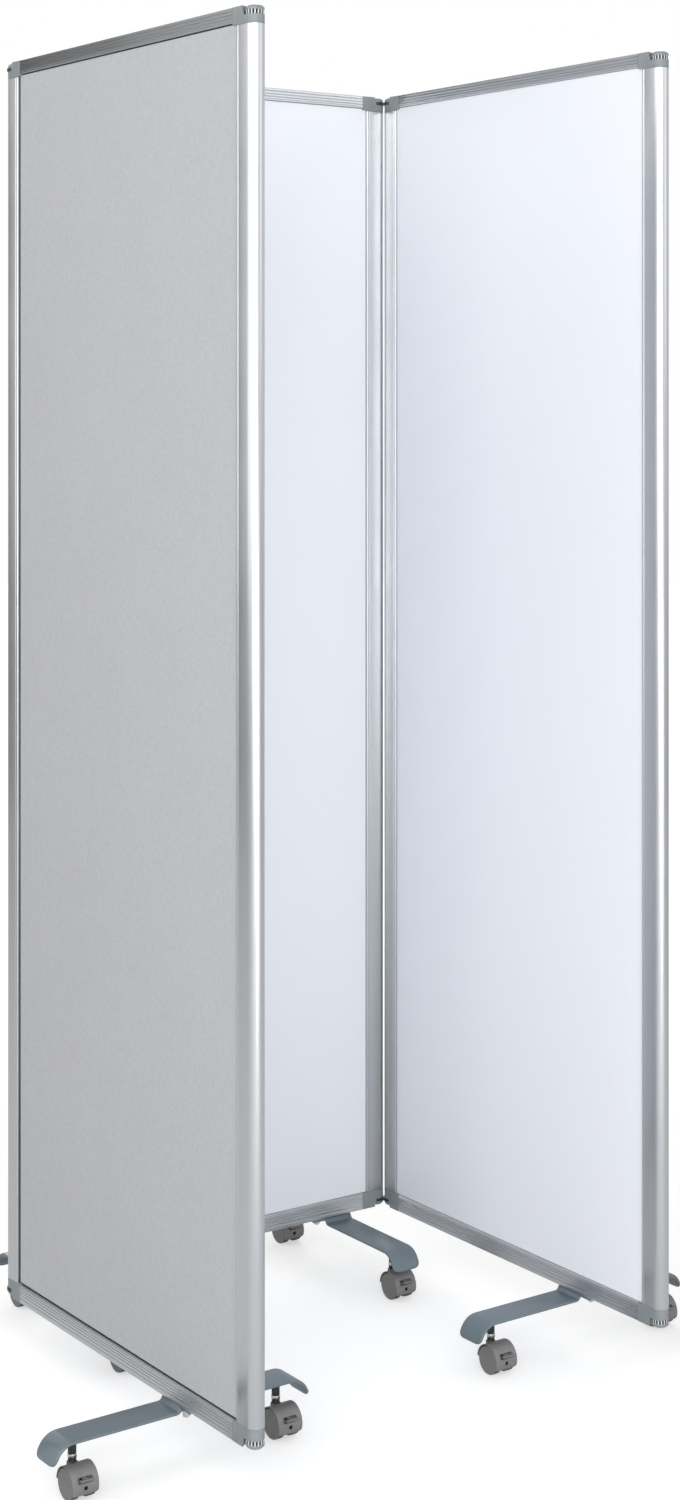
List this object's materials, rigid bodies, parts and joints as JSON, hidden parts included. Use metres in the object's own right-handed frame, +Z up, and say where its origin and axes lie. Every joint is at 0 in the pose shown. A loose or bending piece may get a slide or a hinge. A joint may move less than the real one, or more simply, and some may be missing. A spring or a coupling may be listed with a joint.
{
  "type": "folding privacy screen",
  "caption": "Folding privacy screen of hinged framed boards with writable and fabric faces, standing on bent steel feet with hooded braked casters.",
  "frame": {"origin": "the middle of the footprint, on the floor under the wheels, with the sections standing in a square U", "axes": "+Z up; +X along the middle section, to the right as seen from inside the U; -Y out of the U's open side, which is also the way the brakes face"},
  "size_m": [0.9816, 0.7958, 1.725],
  "materials": {
    "frame": "satin anodised extrusion with fine lengthwise lines",
    "cap": "grey moulded plastic",
    "board": "white writable laminate in front, light grey woven fabric behind",
    "link": "dark moulded plastic",
    "foot": "semi-gloss blue-grey paint",
    "hood": "warm grey moulded plastic",
    "wheel": "grey hard plastic wheel",
    "lever": "warm grey moulded plastic"
  },
  "bodies": {
    "middle": {"middle_board": "board", "middle_top_rail": "frame", "middle_bottom_rail": "frame", "middle_left_stile": "frame", "middle_right_stile": "frame", "middle_left_bottom_cap": "cap", "middle_left_top_cap": "cap", "middle_right_bottom_cap": "cap", "middle_right_top_cap": "cap", "middle_left_foot": "foot", "middle_right_foot": "foot"},
    "left_links": {"left_link_bottom": "link", "left_link_top": "link"},
    "right_links": {"right_link_bottom": "link", "right_link_top": "link"},
    "left_wing": {"left_wing_board": "board", "left_wing_top_rail": "frame", "left_wing_bottom_rail": "frame", "left_wing_left_stile": "frame", "left_wing_right_stile": "frame", "left_wing_left_bottom_cap": "cap", "left_wing_left_top_cap": "cap", "left_wing_right_bottom_cap": "cap", "left_wing_right_top_cap": "cap", "left_wing_foot": "foot"},
    "right_wing": {"right_wing_board": "board", "right_wing_top_rail": "frame", "right_wing_bottom_rail": "frame", "right_wing_left_stile": "frame", "right_wing_right_stile": "frame", "right_wing_left_bottom_cap": "cap", "right_wing_left_top_cap": "cap", "right_wing_right_bottom_cap": "cap", "right_wing_right_top_cap": "cap", "right_wing_foot": "foot"},
    "left_wing_front_caster": {"left_wing_front_hood": "hood"},
    "left_wing_front_roller": {"left_wing_front_wheels": "wheel"},
    "left_wing_front_brake": {"left_wing_front_brake_lever": "lever"},
    "left_wing_back_caster": {"left_wing_back_hood": "hood"},
    "left_wing_back_roller": {"left_wing_back_wheels": "wheel"},
    "left_wing_back_brake": {"left_wing_back_brake_lever": "lever"},
    "middle_left_front_caster": {"middle_left_front_hood": "hood"},
    "middle_left_front_roller": {"middle_left_front_wheels": "wheel"},
    "middle_left_front_brake": {"middle_left_front_brake_lever": "lever"},
    "middle_left_back_caster": {"middle_left_back_hood": "hood"},
    "middle_left_back_roller": {"middle_left_back_wheels": "wheel"},
    "middle_left_back_brake": {"middle_left_back_brake_lever": "lever"},
    "middle_right_front_caster": {"middle_right_front_hood": "hood"},
    "middle_right_front_roller": {"middle_right_front_wheels": "wheel"},
    "middle_right_front_brake": {"middle_right_front_brake_lever": "lever"},
    "middle_right_back_caster": {"middle_right_back_hood": "hood"},
    "middle_right_back_roller": {"middle_right_back_wheels": "wheel"},
    "middle_right_back_brake": {"middle_right_back_brake_lever": "lever"},
    "right_wing_front_caster": {"right_wing_front_hood": "hood"},
    "right_wing_front_roller": {"right_wing_front_wheels": "wheel"},
    "right_wing_front_brake": {"right_wing_front_brake_lever": "lever"},
    "right_wing_back_caster": {"right_wing_back_hood": "hood"},
    "right_wing_back_roller": {"right_wing_back_wheels": "wheel"},
    "right_wing_back_brake": {"right_wing_back_brake_lever": "lever"}
  },
  "joints": [
    {"name": "left_links_turn", "type": "hinge", "parent": "middle", "child": "left_links", "pos_m": [-0.294, 0.21852, 0.0859], "axis": [0, 0, 1], "range_deg": [-135, 45]},
    {"name": "left_wing_turn", "type": "hinge", "parent": "left_links", "child": "left_wing", "pos_m": [-0.31139, 0.20112, 0.0859], "axis": [0, 0, 1], "range_deg": [-135, 45]},
    {"name": "right_links_turn", "type": "hinge", "parent": "middle", "child": "right_links", "pos_m": [0.294, 0.21852, 0.0859], "axis": [0, 0, 1], "range_deg": [-45, 135]},
    {"name": "right_wing_turn", "type": "hinge", "parent": "right_links", "child": "right_wing", "pos_m": [0.31139, 0.20112, 0.0859], "axis": [0, 0, 1], "range_deg": [-45, 135]},
    {"name": "left_wing_front_swivel", "type": "hinge", "parent": "left_wing", "child": "left_wing_front_caster", "pos_m": [-0.16939, -0.21388, 0.037], "axis": [0, 0, 1], "continuous": true},
    {"name": "left_wing_front_roll", "type": "hinge", "parent": "left_wing_front_caster", "child": "left_wing_front_roller", "pos_m": [-0.16939, -0.22737, 0.0185], "axis": [1, 0, 0], "continuous": true},
    {"name": "left_wing_front_brake_press", "type": "hinge", "parent": "left_wing_front_caster", "child": "left_wing_front_brake", "pos_m": [-0.16939, -0.23838, 0.0278], "axis": [1, 0, 0], "range_deg": [0, 14]},
    {"name": "left_wing_back_swivel", "type": "hinge", "parent": "left_wing", "child": "left_wing_back_caster", "pos_m": [-0.45339, -0.21388, 0.037], "axis": [0, 0, 1], "continuous": true},
    {"name": "left_wing_back_roll", "type": "hinge", "parent": "left_wing_back_caster", "child": "left_wing_back_roller", "pos_m": [-0.45339, -0.22737, 0.0185], "axis": [1, 0, 0], "continuous": true},
    {"name": "left_wing_back_brake_press", "type": "hinge", "parent": "left_wing_back_caster", "child": "left_wing_back_brake", "pos_m": [-0.45339, -0.23838, 0.0278], "axis": [1, 0, 0], "range_deg": [0, 14]},
    {"name": "middle_left_front_swivel", "type": "hinge", "parent": "middle", "child": "middle_left_front_caster", "pos_m": [-0.221, 0.07652, 0.037], "axis": [0, 0, 1], "continuous": true},
    {"name": "middle_left_front_roll", "type": "hinge", "parent": "middle_left_front_caster", "child": "middle_left_front_roller", "pos_m": [-0.221, 0.06302, 0.0185], "axis": [1, 0, 0], "continuous": true},
    {"name": "middle_left_front_brake_press", "type": "hinge", "parent": "middle_left_front_caster", "child": "middle_left_front_brake", "pos_m": [-0.221, 0.05202, 0.0278], "axis": [1, 0, 0], "range_deg": [0, 14]},
    {"name": "middle_left_back_swivel", "type": "hinge", "parent": "middle", "child": "middle_left_back_caster", "pos_m": [-0.221, 0.36052, 0.037], "axis": [0, 0, 1], "continuous": true},
    {"name": "middle_left_back_roll", "type": "hinge", "parent": "middle_left_back_caster", "child": "middle_left_back_roller", "pos_m": [-0.221, 0.34702, 0.0185], "axis": [1, 0, 0], "continuous": true},
    {"name": "middle_left_back_brake_press", "type": "hinge", "parent": "middle_left_back_caster", "child": "middle_left_back_brake", "pos_m": [-0.221, 0.33602, 0.0278], "axis": [1, 0, 0], "range_deg": [0, 14]},
    {"name": "middle_right_front_swivel", "type": "hinge", "parent": "middle", "child": "middle_right_front_caster", "pos_m": [0.221, 0.07652, 0.037], "axis": [0, 0, 1], "continuous": true},
    {"name": "middle_right_front_roll", "type": "hinge", "parent": "middle_right_front_caster", "child": "middle_right_front_roller", "pos_m": [0.221, 0.06302, 0.0185], "axis": [1, 0, 0], "continuous": true},
    {"name": "middle_right_front_brake_press", "type": "hinge", "parent": "middle_right_front_caster", "child": "middle_right_front_brake", "pos_m": [0.221, 0.05202, 0.0278], "axis": [1, 0, 0], "range_deg": [0, 14]},
    {"name": "middle_right_back_swivel", "type": "hinge", "parent": "middle", "child": "middle_right_back_caster", "pos_m": [0.221, 0.36052, 0.037], "axis": [0, 0, 1], "continuous": true},
    {"name": "middle_right_back_roll", "type": "hinge", "parent": "middle_right_back_caster", "child": "middle_right_back_roller", "pos_m": [0.221, 0.34702, 0.0185], "axis": [1, 0, 0], "continuous": true},
    {"name": "middle_right_back_brake_press", "type": "hinge", "parent": "middle_right_back_caster", "child": "middle_right_back_brake", "pos_m": [0.221, 0.33602, 0.0278], "axis": [1, 0, 0], "range_deg": [0, 14]},
    {"name": "right_wing_front_swivel", "type": "hinge", "parent": "right_wing", "child": "right_wing_front_caster", "pos_m": [0.16939, -0.21388, 0.037], "axis": [0, 0, 1], "continuous": true},
    {"name": "right_wing_front_roll", "type": "hinge", "parent": "right_wing_front_caster", "child": "right_wing_front_roller", "pos_m": [0.16939, -0.22737, 0.0185], "axis": [1, 0, 0], "continuous": true},
    {"name": "right_wing_front_brake_press", "type": "hinge", "parent": "right_wing_front_caster", "child": "right_wing_front_brake", "pos_m": [0.16939, -0.23838, 0.0278], "axis": [1, 0, 0], "range_deg": [0, 14]},
    {"name": "right_wing_back_swivel", "type": "hinge", "parent": "right_wing", "child": "right_wing_back_caster", "pos_m": [0.45339, -0.21388, 0.037], "axis": [0, 0, 1], "continuous": true},
    {"name": "right_wing_back_roll", "type": "hinge", "parent": "right_wing_back_caster", "child": "right_wing_back_roller", "pos_m": [0.45339, -0.22737, 0.0185], "axis": [1, 0, 0], "continuous": true},
    {"name": "right_wing_back_brake_press", "type": "hinge", "parent": "right_wing_back_caster", "child": "right_wing_back_brake", "pos_m": [0.45339, -0.23838, 0.0278], "axis": [1, 0, 0], "range_deg": [0, 14]}
  ]
}
